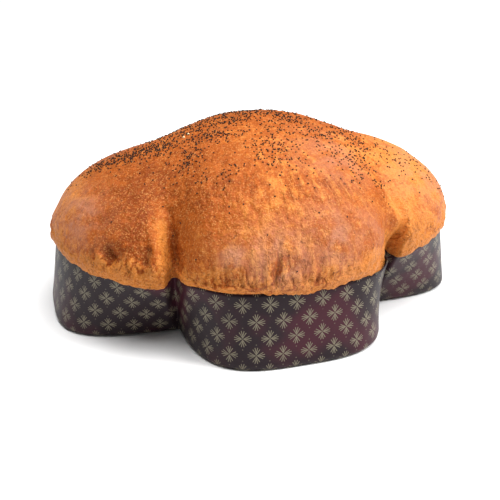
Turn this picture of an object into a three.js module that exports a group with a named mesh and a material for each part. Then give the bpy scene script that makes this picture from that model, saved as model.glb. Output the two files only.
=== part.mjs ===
// Savory colomba: a dove-shaped festive loaf, domed and seeded, in the paper case it was baked in.
// Millimetres, +Z up. The origin is on the table under the middle of the loaf's length and width;
// the lobes below are placed from the point where they meet, which lies beside it.
// +X points to the dove's head, -X to its tail, and the two wings lie towards -Y and +Y.
import * as THREE from 'three';

// The paper case
const paperHeight = 45;
const paperThickness = 0.6;
const loafGap = 0.5;
const footRadius = 3;
const wallLevels = [0, 0.025, 0.07, 0.3, 0.55, 0.8, 1];

// The loaf
const bellyHeight = 50;
const overhang = 2.6;
const overhangBesideHead = 0.9;
const besideHead = [288, 306];
const greatestLean = 26;
const keelRise = 0.5;
const lipRise = 0.6;
const lipOut = 0.5;
const cheekOut = 0.75;
const cheekRise = 0.45;
const lobeBlend = { belly: 4, crown: 9, full: 50 };
const domeRows = 20;
const spreadAbove = [46, 68];
const columnsPerLobe = 28;
const notchCrowding = 0.55;

// Where the case stands: each lobe is a superellipse about its own centre
const footLobes = [
  { name: 'tail', x: -48, y: 0, length: 73.5, width: 47.5, squareness: 3.6, turn: 0 },
  { name: 'head', x: 51, y: 0, length: 73.5, width: 42, squareness: 4, turn: 0 },
  { name: 'left wing', x: 5, y: 38, length: 54, width: 65, squareness: 3.2, turn: -3 },
  { name: 'right wing', x: 4.5, y: -38, length: 57.5, width: 65, squareness: 3.2, turn: 3 },
];

// How the dough rose: each lobe is a pillow with its own rise and shoulder
const domeLobes = [
  { name: 'crown', x: 6, y: 0, length: 106, width: 70, rise: 58.9, squareness: 2.2, shoulder: 1.57 },
  { name: 'tail', x: -57, y: 0, length: 61.6, width: 74, rise: 41.2, squareness: 1.9, shoulder: 1.74 },
  { name: 'head', x: 62, y: 0, length: 60.5, width: 66, rise: 38.4, squareness: 2.2, shoulder: 2.07 },
  { name: 'left wing', x: 8, y: 35, length: 67, width: 66, rise: 47.7, squareness: 2.4, shoulder: 1.8 },
  { name: 'right wing', x: 3, y: -35, length: 70, width: 66, rise: 52.6, squareness: 2.4, shoulder: 2.2 },
];

// The crevices between the lobes run in towards the middle, deepest at the paper's rim
const creviceDepth = 12.5;
const creviceHalfWidth = 6.5;
const creviceWidening = 0.35;
const creviceFade = 27;
const creviceLength = [18, 46];
const creviceSink = 0.6;
const creviceSinkRise = 30;
const crevicePull = { tailSide: 0.12, headSide: -0.1 };

// Unevenness of the crust
const crustSwell = { height: 0.7, pitch: 17, skew: 1.3, lag: 0.7 };
const dimples = [
  { x: -91, y: -57, z: 57, radius: 6, depth: 2.6 },
  { x: -73, y: -68, z: 58, radius: 4, depth: 1.5 },
  { x: 62, y: 72, z: 52, radius: 7, depth: 1.6 },
];

// Poppy seeds
const seedCount = 120;
const seedSize = { length: 1.7, width: 1.35, height: 0.8 };
const seedShoulder = { size: 0.84, rise: 0.6 };
const seedSides = 6;
const seedRoom = 0.95;
const seedStart = 20241;
const lowestSeed = 66;
const seedField = { x: 4, y: 4, length: 62, width: 40 };

const rad = THREE.MathUtils.degToRad;
const smooth = THREE.MathUtils.smoothstep;
const lerp = THREE.MathUtils.lerp;

// Distance from the middle to where a ray leaves a convex shape; inside(distance) tells
function reach(inside) {
  let near = 0;
  let far = 300;
  for (let step = 0; step < 40; step += 1) {
    const middle = (near + far) / 2;
    if (inside(middle)) near = middle;
    else far = middle;
  }
  return near;
}

function planMeasure(lobe, x, y) {
  const turn = rad(lobe.turn ?? 0);
  const dx = x - lobe.x;
  const dy = y - lobe.y;
  const along = (dx * Math.cos(turn) + dy * Math.sin(turn)) / lobe.length;
  const across = (-dx * Math.sin(turn) + dy * Math.cos(turn)) / lobe.width;
  return Math.abs(along) ** lobe.squareness + Math.abs(across) ** lobe.squareness;
}

function footReach(lobe, azimuth) {
  const cos = Math.cos(azimuth);
  const sin = Math.sin(azimuth);
  return reach((distance) => planMeasure(lobe, distance * cos, distance * sin) < 1);
}

function domeReach(lobe, direction) {
  return reach((distance) => {
    const plan = planMeasure(lobe, distance * direction.x, distance * direction.y);
    const height = Math.abs((distance * direction.z) / lobe.rise) ** lobe.shoulder;
    return plan ** (lobe.shoulder / lobe.squareness) + height < 1;
  });
}

// The lobes melt into each other over a few millimetres, and more so towards the crown
function blend(reaches, elevation) {
  const share = smooth(elevation, 0, rad(lobeBlend.full));
  const width = lerp(lobeBlend.belly, lobeBlend.crown, share);
  const furthest = Math.max(...reaches);
  const sum = reaches.reduce((total, value) => total + Math.exp((value - furthest) / width), 0);
  return furthest + width * Math.log(sum);
}

// The azimuth at which one lobe's outline passes into the next one's
function meetingAzimuth(lobes, first, second, reachOf) {
  const [from, to] = [first, second].map((name) => lobes.find((lobe) => lobe.name === name));
  let low = Math.atan2(from.y, from.x);
  let high = Math.atan2(to.y, to.x);
  if (high < low) high += 2 * Math.PI;
  for (let step = 0; step < 40; step += 1) {
    const middle = (low + high) / 2;
    if (reachOf(from, middle) > reachOf(to, middle)) low = middle;
    else high = middle;
  }
  return (low + 2 * Math.PI) % (2 * Math.PI);
}

const level = (azimuth) => new THREE.Vector3(Math.cos(azimuth), Math.sin(azimuth), 0);
const bellyReach = (lobe, azimuth) => domeReach(lobe, level(azimuth));
const lobeOrder = ['head', 'left wing', 'tail', 'right wing', 'head'];

function notches(lobes, reachOf) {
  return lobeOrder.slice(0, 4).map((name, index) => (
    meetingAzimuth(lobes, name, lobeOrder[index + 1], reachOf)
  ));
}

const bellyNotches = notches(domeLobes, bellyReach);
const footNotches = notches(footLobes, footReach);

// Columns run from notch to notch round the loaf and are closest together beside the notches.
// Each has one azimuth at the foot and one at the belly, so that the creases stay in line.
function makeColumns() {
  const columns = [];
  for (let lobe = 0; lobe < 4; lobe += 1) {
    const next = (lobe + 1) % 4;
    const turn = lobe === 3 ? 2 * Math.PI : 0;
    for (let step = 0; step < columnsPerLobe; step += 1) {
      const even = step / columnsPerLobe;
      const share = lerp(even, 0.5 - 0.5 * Math.cos(Math.PI * even), notchCrowding);
      columns.push({
        belly: lerp(bellyNotches[lobe], bellyNotches[next] + turn, share),
        foot: lerp(footNotches[lobe], footNotches[next] + turn, share),
      });
    }
  }
  return columns;
}

const columns = makeColumns();

// The four crevices, each where the belly's outline has a notch
const crevices = bellyNotches.map((azimuth) => {
  const distance = Math.max(...domeLobes.map((lobe) => bellyReach(lobe, azimuth)));
  const place = level(azimuth).multiplyScalar(distance);
  const pull = place.x < 0 ? crevicePull.tailSide : crevicePull.headSide;
  return { place, inward: new THREE.Vector3(pull, -Math.sign(place.y), 0).normalize() };
});

// Draws a point of the loaf or the rim into the nearest crevice
function pulledIn(point, fade) {
  const moved = point.clone();
  const rise = Math.max(0, point.z - bellyHeight);
  const halfWidth = creviceHalfWidth + creviceWidening * rise;
  crevices.forEach(({ place, inward }) => {
    const offset = point.clone().sub(place).setZ(0);
    const along = offset.dot(inward);
    const aside = Math.abs(offset.x * inward.y - offset.y * inward.x);
    const near = 1 - smooth(Math.abs(along), ...creviceLength);
    const share = (0.5 + 0.5 * Math.cos(Math.PI * Math.min(1, aside / halfWidth))) * near * fade;
    const sink = new THREE.Vector3(0, 0, -creviceSink * smooth(rise, 0, creviceSinkRise));
    moved.addScaledVector(sink.add(inward), creviceDepth * share);
  });
  return moved;
}

function crustRelief(point) {
  const { x, y, z } = point;
  const { height, pitch, skew, lag } = crustSwell;
  const along = Math.sin(x / pitch + skew * Math.sin(y / pitch));
  let relief = height * along * Math.sin((y + z) / pitch + lag);
  dimples.forEach((dimple) => {
    const distance = Math.hypot(x - dimple.x, y - dimple.y, z - dimple.z);
    relief -= dimple.depth * Math.exp(-((distance / dimple.radius) ** 2));
  });
  return relief;
}

// The loaf before its crevices
function risenPoint(azimuth, elevation) {
  const direction = new THREE.Vector3(
    Math.cos(elevation) * Math.cos(azimuth),
    Math.cos(elevation) * Math.sin(azimuth),
    Math.sin(elevation),
  );
  const smoothReach = blend(domeLobes.map((lobe) => domeReach(lobe, direction)), elevation);
  const point = direction.clone().multiplyScalar(smoothReach);
  point.z += bellyHeight;
  return point.addScaledVector(direction, crustRelief(point));
}

function domePoint(azimuth, elevation) {
  const point = risenPoint(azimuth, elevation);
  return pulledIn(point, Math.exp(-(((point.z - bellyHeight) / creviceFade) ** 2)));
}

function ringNormals(ring) {
  return ring.map((point, index) => {
    const before = ring[(index + ring.length - 1) % ring.length];
    const after = ring[(index + 1) % ring.length];
    return new THREE.Vector3(after.y - before.y, before.x - after.x, 0).normalize();
  });
}

// Moves a ring in (+) or out (-) in plan
function inset(ring, distance) {
  const normals = ringNormals(ring);
  return ring.map((point, index) => point.clone().addScaledVector(normals[index], -distance));
}

const footRing = columns.map(({ foot }) => (
  level(foot).multiplyScalar(Math.max(...footLobes.map((lobe) => footReach(lobe, foot))))
));

const bellyRing = columns.map(({ belly }) => domePoint(belly, 0));

// The rim lies inside the belly by the loaf's overhang, least on the right wing beside the head
const rimRing = (() => {
  const risen = columns.map(({ belly }) => risenPoint(belly, 0));
  const normals = ringNormals(risen);
  return risen.map((point, index) => {
    const azimuth = columns[index].belly;
    const beside = smooth(azimuth, ...besideHead.map(rad));
    const over = azimuth < bellyNotches[3] ? lerp(overhang, overhangBesideHead, beside) : overhang;
    const rim = pulledIn(point.clone().addScaledVector(normals[index], -over), 1);
    const apart = rim.clone().setZ(0).distanceTo(footRing[index]);
    const lean = greatestLean * Math.tanh(apart / greatestLean);
    return rim.setZ(Math.sqrt(paperHeight ** 2 - lean ** 2));
  });
})();

// One level of the paper wall, outside face: 0 is the table, 1 is the rim
function wallRing(share) {
  const height = share * paperHeight;
  const under = height < footRadius
    ? footRadius - Math.sqrt(footRadius ** 2 - (footRadius - height) ** 2)
    : 0;
  const ring = footRing.map((foot, index) => foot.clone().lerp(rimRing[index], share));
  return inset(ring, under);
}

// Skins a stack of rings, closed by a point at each end, into one closed surface.
// A ring has as many points as the one before it, or half as many. Two walls that face each
// other across a gap share the same diagonals, whichever way their rings run.
function skin(rings, firstPoint, lastPoint) {
  const positions = [firstPoint, ...rings.flat(), lastPoint].flatMap(({ x, y, z }) => [x, y, z]);
  const indices = [];
  let start = 1;
  rings.forEach((ring, number) => {
    const below = (column) => start + (column % ring.length);
    const next = rings[number + 1];
    const above = (column) => start + ring.length + (column % (next ? next.length : 1));
    const halved = next && next.length < ring.length;
    const falling = next && next[0].z < ring[0].z;
    for (let column = 0; column < ring.length; column += 1) {
      if (number === 0) indices.push(0, below(column + 1), below(column));
      if (!next) {
        indices.push(below(column), below(column + 1), start + ring.length);
      } else if (falling) {
        indices.push(below(column), below(column + 1), above(column));
        indices.push(below(column + 1), above(column + 1), above(column));
      } else if (!halved) {
        indices.push(below(column), below(column + 1), above(column + 1));
        indices.push(below(column), above(column + 1), above(column));
      } else if (column % 2 === 0) {
        const pair = column / 2;
        indices.push(below(column), below(column + 1), above(pair));
        indices.push(below(column + 1), above(pair + 1), above(pair));
        indices.push(below(column + 1), below(column + 2), above(pair + 1));
      }
    }
    start += ring.length;
  });
  const geometry = new THREE.BufferGeometry();
  geometry.setAttribute('position', new THREE.Float32BufferAttribute(positions, 3));
  geometry.setIndex(indices);
  return geometry;
}

function paperCaseGeometry() {
  const outside = wallLevels.map(wallRing);
  const inside = wallLevels
    .map((share, index) => inset(outside[index], paperThickness))
    .reverse();
  inside[inside.length - 1].forEach((point) => point.setZ(paperThickness));
  const under = new THREE.Vector3(0, 0, 0);
  const floor = new THREE.Vector3(0, 0, paperThickness);
  return skin([...outside, ...inside], under, floor);
}

function loafGeometry() {
  const clear = paperThickness + loafGap;
  const inCase = wallLevels.map((share) => inset(wallRing(share), clear));
  inCase[0].forEach((point) => point.setZ(clear));
  inCase[1].forEach((point) => point.setZ(Math.max(point.z, clear + keelRise)));
  const collar = inset(rimRing, clear).map((point) => point.setZ(point.z + loafGap));
  const lip = rimRing.map((point, index) => {
    const out = point.clone().lerp(bellyRing[index], lipOut);
    return out.setZ(point.z + lipRise + loafGap);
  });
  const cheek = lip.map((point, index) => {
    const out = point.clone().lerp(bellyRing[index], cheekOut);
    return out.setZ(lerp(point.z, bellyHeight, cheekRise));
  });
  const dome = [];
  for (let row = 0; row < domeRows; row += 1) {
    const elevation = (row / domeRows) * (Math.PI / 2);
    const spread = spreadAbove.filter((limit) => elevation > rad(limit)).length;
    const kept = columns.filter((_, index) => index % 2 ** spread === 0);
    dome.push(kept.map(({ belly }) => domePoint(belly, elevation)));
  }
  const top = domePoint(0, Math.PI / 2);
  const bottom = new THREE.Vector3(0, 0, clear);
  return skin([...inCase, collar, lip, cheek, ...dome], bottom, top);
}

// Repeatable random numbers from 0 to 1
function randomSource(start) {
  let state = start;
  return () => {
    state = (state * 1664525 + 1013904223) % 4294967296;
    return state / 4294967296;
  };
}

// Where a facet can hold a seed: the middle of its inscribed circle
function facetMiddle(a, b, c) {
  const sides = [b.distanceTo(c), c.distanceTo(a), a.distanceTo(b)];
  const around = sides[0] + sides[1] + sides[2];
  const centre = new THREE.Vector3();
  [a, b, c].forEach((corner, index) => centre.addScaledVector(corner, sides[index] / around));
  return { centre, room: (2 * new THREE.Triangle(a, b, c).getArea()) / around };
}

// Poppy seeds are thickest over the crown and thin out down the shoulders
function facetsWithSeeds(corners, facets) {
  const random = randomSource(seedStart);
  const places = facets.map((facet, index) => {
    const { centre, room } = facetMiddle(...facet.map((corner) => corners[corner]));
    const away = Math.hypot(
      (centre.x - seedField.x) / seedField.length,
      (centre.y - seedField.y) / seedField.width,
    );
    const wanted = Math.exp(-(away ** 3)) * room;
    const spin = random() * Math.PI;
    const fits = room > seedRoom && centre.z > lowestSeed;
    return { index, centre, spin, rank: fits ? random() ** (1 / wanted) : 0 };
  });
  places.sort((one, other) => other.rank - one.rank);
  return new Map(places.slice(0, seedCount).map((place) => [place.index, place]));
}

// Sets one seed into a facet: the facet is opened round its foot and the seed stands on the hole
function growSeed(corners, facet, { centre, spin }) {
  const [a, b, c] = facet.map((corner) => corners[corner]);
  const along = b.clone().sub(a).normalize();
  const up = new THREE.Triangle(a, b, c).getNormal(new THREE.Vector3());
  const aside = up.clone().cross(along);
  const flat = (point) => new THREE.Vector2(point.dot(along), point.dot(aside));
  const ring = (size, rise) => Array.from({ length: seedSides }, (_, side) => {
    const angle = (side / seedSides) * 2 * Math.PI;
    const x = (Math.cos(angle) * seedSize.length * size) / 2;
    const y = (Math.sin(angle) * seedSize.width * size) / 2;
    return centre.clone()
      .addScaledVector(along, x * Math.cos(spin) - y * Math.sin(spin))
      .addScaledVector(aside, x * Math.sin(spin) + y * Math.cos(spin))
      .addScaledVector(up, rise * seedSize.height);
  });
  const start = corners.length;
  const foot = ring(1, 0);
  const shoulder = ring(seedShoulder.size, seedShoulder.rise);
  corners.push(...foot, ...shoulder, centre.clone().addScaledVector(up, seedSize.height));
  const hole = foot.map((_, side) => seedSides - 1 - side);
  const names = [...facet, ...hole.map((side) => start + side)];
  const opened = THREE.ShapeUtils.triangulateShape(
    [a, b, c].map(flat),
    [hole.map((side) => flat(foot[side]))],
  );
  const facets = opened.map((triangle) => triangle.map((corner) => names[corner]));
  for (let side = 0; side < seedSides; side += 1) {
    const next = (side + 1) % seedSides;
    const [low, lowNext] = [start + side, start + next];
    const [high, highNext] = [low + seedSides, lowNext + seedSides];
    facets.push([low, lowNext, highNext], [low, highNext, high]);
    facets.push([high, highNext, start + 2 * seedSides]);
  }
  return facets;
}

function seededLoafGeometry() {
  const loaf = loafGeometry();
  const place = loaf.getAttribute('position');
  const order = loaf.getIndex();
  const corners = Array.from({ length: place.count }, (_, corner) => (
    new THREE.Vector3().fromBufferAttribute(place, corner)
  ));
  const facets = Array.from({ length: order.count / 3 }, (_, facet) => (
    [0, 1, 2].map((corner) => order.getX(3 * facet + corner))
  ));
  const seeds = facetsWithSeeds(corners, facets);
  const seeded = facets.flatMap((facet, index) => (
    seeds.has(index) ? growSeed(corners, facet, seeds.get(index)) : [facet]
  ));
  const positions = corners.flatMap(({ x, y, z }) => [x, y, z]);
  const geometry = new THREE.BufferGeometry();
  geometry.setAttribute('position', new THREE.Float32BufferAttribute(positions, 3));
  geometry.setIndex(seeded.flat());
  return geometry;
}

const crust = new THREE.MeshStandardMaterial({ color: '#c4783a', roughness: 0.62, metalness: 0 });
const printedPaper = new THREE.MeshStandardMaterial({ color: '#3d3236', roughness: 0.5, metalness: 0 });

const loaf = seededLoafGeometry();
const paperCase = paperCaseGeometry();
const bounds = new THREE.Box3();
[loaf, paperCase].forEach((geometry) => {
  geometry.computeBoundingBox();
  bounds.union(geometry.boundingBox);
});
const middle = bounds.getCenter(new THREE.Vector3());

function piece(name, geometry, material) {
  geometry.translate(-middle.x, -middle.y, 0);
  geometry.computeVertexNormals();
  const mesh = new THREE.Mesh(geometry, material);
  mesh.name = name;
  return mesh;
}

const colomba = new THREE.Group();
colomba.add(piece('bread', loaf, crust));
colomba.add(piece('paper_case', paperCase, printedPaper));

export default colomba;
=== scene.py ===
import math
import random
import bmesh
import bpy
import numpy as np
from mathutils import Matrix, Vector, noise
from mathutils.bvhtree import BVHTree


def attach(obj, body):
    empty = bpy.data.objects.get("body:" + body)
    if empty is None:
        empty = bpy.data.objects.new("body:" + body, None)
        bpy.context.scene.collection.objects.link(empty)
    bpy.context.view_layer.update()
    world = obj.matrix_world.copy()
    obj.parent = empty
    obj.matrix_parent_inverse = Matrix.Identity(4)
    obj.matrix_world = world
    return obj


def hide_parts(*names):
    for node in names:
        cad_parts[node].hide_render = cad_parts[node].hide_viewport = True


# Savory colomba: a dove-shaped loaf with poppy seeds in its printed paper case.
# The shapes below are worked out in millimetres and laid down in metres.
mm = 0.001
mergeWithin = 1e-6              # metres between the vertices that are merged
halvings = 26                   # of a search by halving

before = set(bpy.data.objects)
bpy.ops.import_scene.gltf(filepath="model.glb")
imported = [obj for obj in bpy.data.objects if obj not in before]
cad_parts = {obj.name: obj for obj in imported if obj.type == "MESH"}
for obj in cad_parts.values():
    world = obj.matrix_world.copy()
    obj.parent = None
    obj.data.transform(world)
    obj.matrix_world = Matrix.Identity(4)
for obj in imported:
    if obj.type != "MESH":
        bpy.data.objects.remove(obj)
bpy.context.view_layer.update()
lobesMeet = np.array([-1.529, 0.011, 0.0])  # where the lobes' own zero lies in the frame

case = {
    "height": 45,
    "thickness": 0.6,
    "footRadius": 3,
    "greatestLean": 26,
    "raisedRim": [
        {"at": (62, -73, 44), "radius": 10, "height": 2.6},
        {"at": (-50, -80, 41), "radius": 14, "height": 3.4},
    ],
    "columns": 720,
    "rows": 26,
    "rowSpread": 1.3,           # above 1, the rows crowd towards the foot
    "lobes": [
        {"name": "tail", "x": -48, "y": 0, "length": 73.5, "width": 47.5, "square": 3.6, "turn": 0},
        {"name": "head", "x": 51, "y": 0, "length": 73.5, "width": 42, "square": 4, "turn": 0},
        {"name": "left wing", "x": 5, "y": 38, "length": 54, "width": 65, "square": 3.2, "turn": -3},
        {"name": "right wing", "x": 4.5, "y": -38, "length": 57.5, "width": 65, "square": 3.2, "turn": 3},
    ],
}

loaf = {
    "bellyHeight": 50,
    "gap": 0.5,                 # between the loaf and the paper
    "overhang": 2.6,
    "overhangBesideHead": 0.9,
    "besideHead": (288, 306),   # degrees round the loaf
    "lipDroop": -0.6,           # how far the dough hangs down over the paper's rim
    "droopPlaces": [
        {"at": (-112, -30, 45), "radius": 30, "more": 1.4},
        {"at": (-80, -64, 45), "radius": 26, "more": 2.6},
        {"at": (8, -99, 45), "radius": 20, "more": 3.2},
        {"at": (60, -80, 45), "radius": 14, "more": -1.2},
        {"at": (-49, -83, 44), "radius": 14, "more": -1.6},
        {"at": (-25, -96, 44), "radius": 20, "more": -1.4},
        {"at": (74, -58, 45), "radius": 9, "more": 3.2},
        {"at": (84, -62, 45), "radius": 14, "more": 1.0},
        {"at": (110, 30, 45), "radius": 40, "more": 1.2},
        {"at": (0, 100, 45), "radius": 50, "more": 1.0},
    ],
    "raggedLip": [{"pitch": 5, "height": 1.5}, {"pitch": 1.8, "height": 0.675}],
    "lipBulge": {"pitch": 6, "shift": 40, "height": 0.9},
    "offPaper": 0.3,
    "leanFrom": 0.93,           # the wall's lean near its rim is measured from this share of its height
    # where the dough stands back from the paper, fully so above the second height
    "tuck": {"at": (61, -77, 50), "radius": 12, "depth": 4.0, "rise": (43.5, 45)},
    # the lip from the belly down: how far along, then shares of the overhang, the bulge and the drop,
    # with a little more or less overhang in millimetres
    "lip": [
        {"along": 0.18, "over": 1.0, "more": 0.25, "bulge": 0.6, "drop": 0.30},
        {"along": 0.34, "over": 1.0, "more": -0.05, "bulge": 1.0, "drop": 0.62},
        {"along": 0.46, "over": 0.72, "more": 0.0, "bulge": 0.8, "drop": 0.88},
    ],
    # then back up along the paper and in over its rim
    "lipBack": {
        "lowest": 0.56, "lowestOver": 0.30, "turn": 0.64, "turnRise": 0.6,
        "overRim": 0.70, "aboveRim": 0.35, "inside": 0.76,
    },
    "insideRings": {"top": 0.98, "count": 14},
    "blend": {"belly": 4, "crown": 9, "full": 50},
    "cells": 300,               # along each side of the grid that is wrapped over the loaf
    "domeShare": 0.80,          # of the grid, the rest goes round the lip and inside the case
    "lobes": [
        {"name": "crown", "x": 6, "y": 0, "length": 106, "width": 70, "rise": 58.9,
         "square": 2.2, "shoulder": 1.57},
        {"name": "tail", "x": -57, "y": 0, "length": 61.6, "width": 74, "rise": 41.2,
         "square": 1.9, "shoulder": 1.74},
        {"name": "head", "x": 62, "y": 0, "length": 60.5, "width": 66, "rise": 38.4,
         "square": 2.2, "shoulder": 2.07},
        {"name": "left wing", "x": 8, "y": 35, "length": 67, "width": 66, "rise": 47.7,
         "square": 2.4, "shoulder": 1.8},
        {"name": "right wing", "x": 3, "y": -35, "length": 70, "width": 66, "rise": 52.6,
         "square": 2.4, "shoulder": 2.2},
    ],
}

crevice = {
    "depth": 12.5,
    "halfWidth": 6.5,
    "widening": 0.35,
    "fade": 27,
    "length": (18, 46),
    "sink": 0.6,
    "sinkRise": 30,
    "pullTailSide": 0.12,
    "pullHeadSide": -0.1,
}

relief = {
    "swell": 0.7,
    "swellPitch": 17,
    "skew": 1.3,
    "lag": 0.7,
    "dimples": [
        {"at": (-91, -57, 57), "radius": 6, "depth": 2.6},
        {"at": (-73, -68, 58), "radius": 4, "depth": 1.5},
        {"at": (62, 72, 52), "radius": 7, "depth": 1.6},
    ],
    "unevenness": [
        {"pitch": 14, "height": 0.55},
        {"pitch": 5.5, "height": 0.22},
    ],
    "stretch": {"pitch": 3.0, "height": 0.95, "along": 13, "radius": 100},  # at the loaf's usual radius
    "skin": {
        "at": (8, -66, 96), "size": (46, 28, 18), "height": 0.9, "paleness": 0.26,
        "pitch": (3.8, 8, 7), "sharpness": 3.2, "lowest": -0.3,
    },
    "lumps": {"pitch": 3.2, "height": 1.25},
    "cracks": [
        {"at": (-86, -58, 54), "size": (32, 22, 8)},
        {"at": (-10, -98, 51), "size": (50, 22, 6), "share": 0.8},
        {"at": (-80, 60, 53), "size": (32, 22, 7)},
        {"at": (90, 50, 53), "size": (30, 22, 6)},
    ],
    "crackDepth": 1.4,
    "crackLines": {"pitch": 4.6, "shift": 9, "sharpness": 5},
}

bakeAndPaintedLight = {
    "even": 0.42,
    "zones": [  # where the crust is darker (above zero) or paler: mostly its baking, and some zones of painted shade and painted light
        {"at": (-74, -34, 80), "size": (30, 30, 18), "tone": 0.36},
        {"at": (-84, -50, 67), "size": (24, 20, 12), "tone": 0.32},
        {"at": (-108, -8, 74), "size": (14, 30, 16), "tone": -0.25},
        {"at": (0, -70, 92), "size": (52, 20, 18), "tone": 0.2},
        {"at": (-35, -45, 92), "size": (30, 26, 22), "tone": 0.26},
        {"at": (0, 10, 108), "size": (60, 34, 16), "tone": 0.20},
        {"at": (88, -10, 82), "size": (34, 40, 16), "tone": -0.3},
        # painted light: the raised column beside the crevice between tail and right wing is painted paler
        # for the light it catches
        {"at": (-62, -60, 67), "size": (6, 12, 16), "tone": -0.8},
        {"at": (-86, -58, 53), "size": (28, 18, 7), "tone": -0.32},
        {"at": (30, -95, 58), "size": (30, 14, 20), "tone": -0.10},
        # painted shade inside the two pits
        {"at": (-91, -56, 56), "size": (3.2, 4, 4), "tone": 1.4},
        {"at": (-72, -66.5, 58), "size": (2.2, 3, 3.5), "tone": 1.3},
        # painted shade along the crease beside the column
        {"at": (-57, -62, 60), "size": (3, 9, 14), "tone": 0.7},
        # painted light: paler beside the crevice by the head lobe, against the shade that falls in it
        {"at": (74, -62, 55), "size": (7, 7, 9), "tone": -0.6},
        {"at": (76, -58, 68), "size": (13, 12, 13), "tone": -0.4},
        {"at": (-60, 40, 84), "size": (40, 34, 20), "tone": 0.25},
        {"at": (10, 80, 80), "size": (50, 26, 22), "tone": 0.12},
    ],
    # painted sheen: places where the crust's colour turns paler and rosy for its soft reflection, with more
    # gloss there too
    "paintedSheen": [
        {"at": (-6, -97, 63), "size": (19, 20, 16)},
        {"at": (24, -93, 69), "size": (18, 18, 20), "share": 0.8},
        {"at": (-30, -94, 66), "size": (9, 12, 7)},
        {"at": (-104, -26, 69), "size": (15, 24, 13)},
        {"at": (97, -22, 74), "size": (26, 34, 20), "share": 0.6},
        {"at": (44, -88, 70), "size": (22, 14, 16), "share": 0.5},
        {"at": (40, -48, 98), "size": (26, 30, 14), "share": 0.6},
        {"at": (-60, 70, 66), "size": (20, 14, 9)},
        {"at": (40, 92, 64), "size": (24, 14, 9)},
    ],
    "strained": [  # where the dough stretched most
        {"at": (-4, -98, 56), "size": (44, 26, 15)},
        {"at": (78, -64, 56), "size": (13, 13, 12)},
        {"at": (-80, -62, 54), "size": (28, 22, 8), "share": 0.6},
        {"at": (24, -74, 90), "size": (40, 14, 10), "share": 0.6},
        {"at": (0, 98, 56), "size": (52, 30, 17)},
        {"at": (-60, 60, 64), "size": (22, 20, 22)},
    ],
    "leastStrain": 0.12,
    "skirt": (59, 51),          # the rough pale band above the rim
    "skirtWander": [{"pitch": 11, "height": 8}, {"pitch": 3.5, "height": 3}],
    "skirtPale": -0.42,
    # painted shade in the cracks
    "paintedCrackShade": 1.2,
    "streakTone": 0.75,
}

# Furrows (depth above zero) and folds (below zero) that run over the crust
furrows = [
    {"path": [(-57, -53, 76), (-57, -61, 66), (-57, -64, 58), (-56, -67, 49)], "depth": 2.6, "width": 2.6},
    {"path": [(-61, -54, 75), (-64, -64, 64), (-67, -73, 52)], "depth": -3.0, "width": 4.2},
    {"path": [(76, -60, 62.5), (74, -61, 59), (72.5, -61, 55), (70, -59, 49)], "depth": 2.6, "width": 2.2},
    {"path": [(72, -57, 75), (70, -63, 67)], "depth": -3.0, "width": 8},
    {"path": [(61, -57, 78), (65, -60, 70), (69, -60, 62)], "depth": -6.0, "width": 8},
    {"path": [(68, -58, 63), (70, -60, 54)], "depth": -5.5, "width": 5.5},
    {"path": [(80, -66, 57), (78, -67, 50)], "depth": -2.0, "width": 6},
    {"path": [(72, -61, 53), (76, -65, 55.5), (81, -65, 54)], "depth": 0.8, "width": 1.1},
    {"path": [(72, -61, 50.5), (75, -65, 51.5), (79, -65, 49)], "depth": 0.7, "width": 1.0},
    {"path": [(74, -61, 59), (78, -63, 60.5), (84, -62, 58)], "depth": 0.9, "width": 1.2},
    {"path": [(-92, -54, 58), (-90.5, -55.5, 55.5), (-90, -58, 53)], "depth": 3.6, "width": 2.2},
    {"path": [(-96, -53, 57), (-94, -55, 53)], "depth": -1.2, "width": 1.8},
    {"path": [(-70.5, -66, 61), (-71.5, -66, 58), (-73, -68, 55)], "depth": 2.6, "width": 1.5},
    {"path": [(-19, -80, 89), (-16, -86, 85), (-16, -92, 76), (-18, -97, 63), (-22, -99, 51)],
     "depth": 0.9, "width": 1.1},
    {"path": [(-6, -96, 72), (-8, -98, 64), (-8, -100, 58), (-10, -101, 50)], "depth": 1.4, "width": 1.0},
    {"path": [(-5.5, -99, 67), (-5.5, -100, 57)], "depth": -0.8, "width": 1.4},
    {"path": [(10, -86, 87), (7, -97, 69), (6, -101, 49)], "depth": 0.4, "width": 0.9},
    {"path": [(-35, -94, 59), (-34, -95, 51)], "depth": 0.8, "width": 1.0},
    {"path": [(5, -101, 55), (6, -101, 47)], "depth": 1.4, "width": 1.2},
    {"path": [(-28, -97, 61), (-27, -98, 50)], "depth": 0.6, "width": 1.0},
    {"path": [(-42, -89, 62), (-41, -92, 52)], "depth": 0.6, "width": 1.1},
    {"path": [(15, -99, 61), (18, -100, 47)], "depth": 0.7, "width": 1.2},
]


def smooth(value, low, high):
    share = np.clip((value - low) / (high - low), 0, 1)
    return share * share * (3 - 2 * share)


def spotShare(places, spots):  # the strongest spot's share, at most 1 in its middle
    share = np.zeros(len(places))
    for spot in spots:
        away = np.linalg.norm((places - np.array(spot["at"])) / np.array(spot["size"]), axis=1)
        share = np.maximum(share, spot.get("share", 1) * np.exp(-away ** 2))
    return share


def planMeasure(lobe, x, y):
    turn = math.radians(lobe.get("turn", 0))
    dx, dy = x - lobe["x"], y - lobe["y"]
    along = np.abs(dx * math.cos(turn) + dy * math.sin(turn)) / lobe["length"]
    across = np.abs(dy * math.cos(turn) - dx * math.sin(turn)) / lobe["width"]
    return along ** lobe["square"] + across ** lobe["square"]


def reach(inside, count):  # how far each ray runs before it leaves a lobe
    farthest = 300.0
    near, far = np.zeros(count), np.full(count, farthest)
    for _ in range(halvings):
        middle = (near + far) / 2
        within = inside(middle)
        near, far = np.where(within, middle, near), np.where(within, far, middle)
    return near


def footReach(lobe, azimuth):
    return reach(lambda d: planMeasure(lobe, d * np.cos(azimuth), d * np.sin(azimuth)) < 1, len(azimuth))


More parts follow.
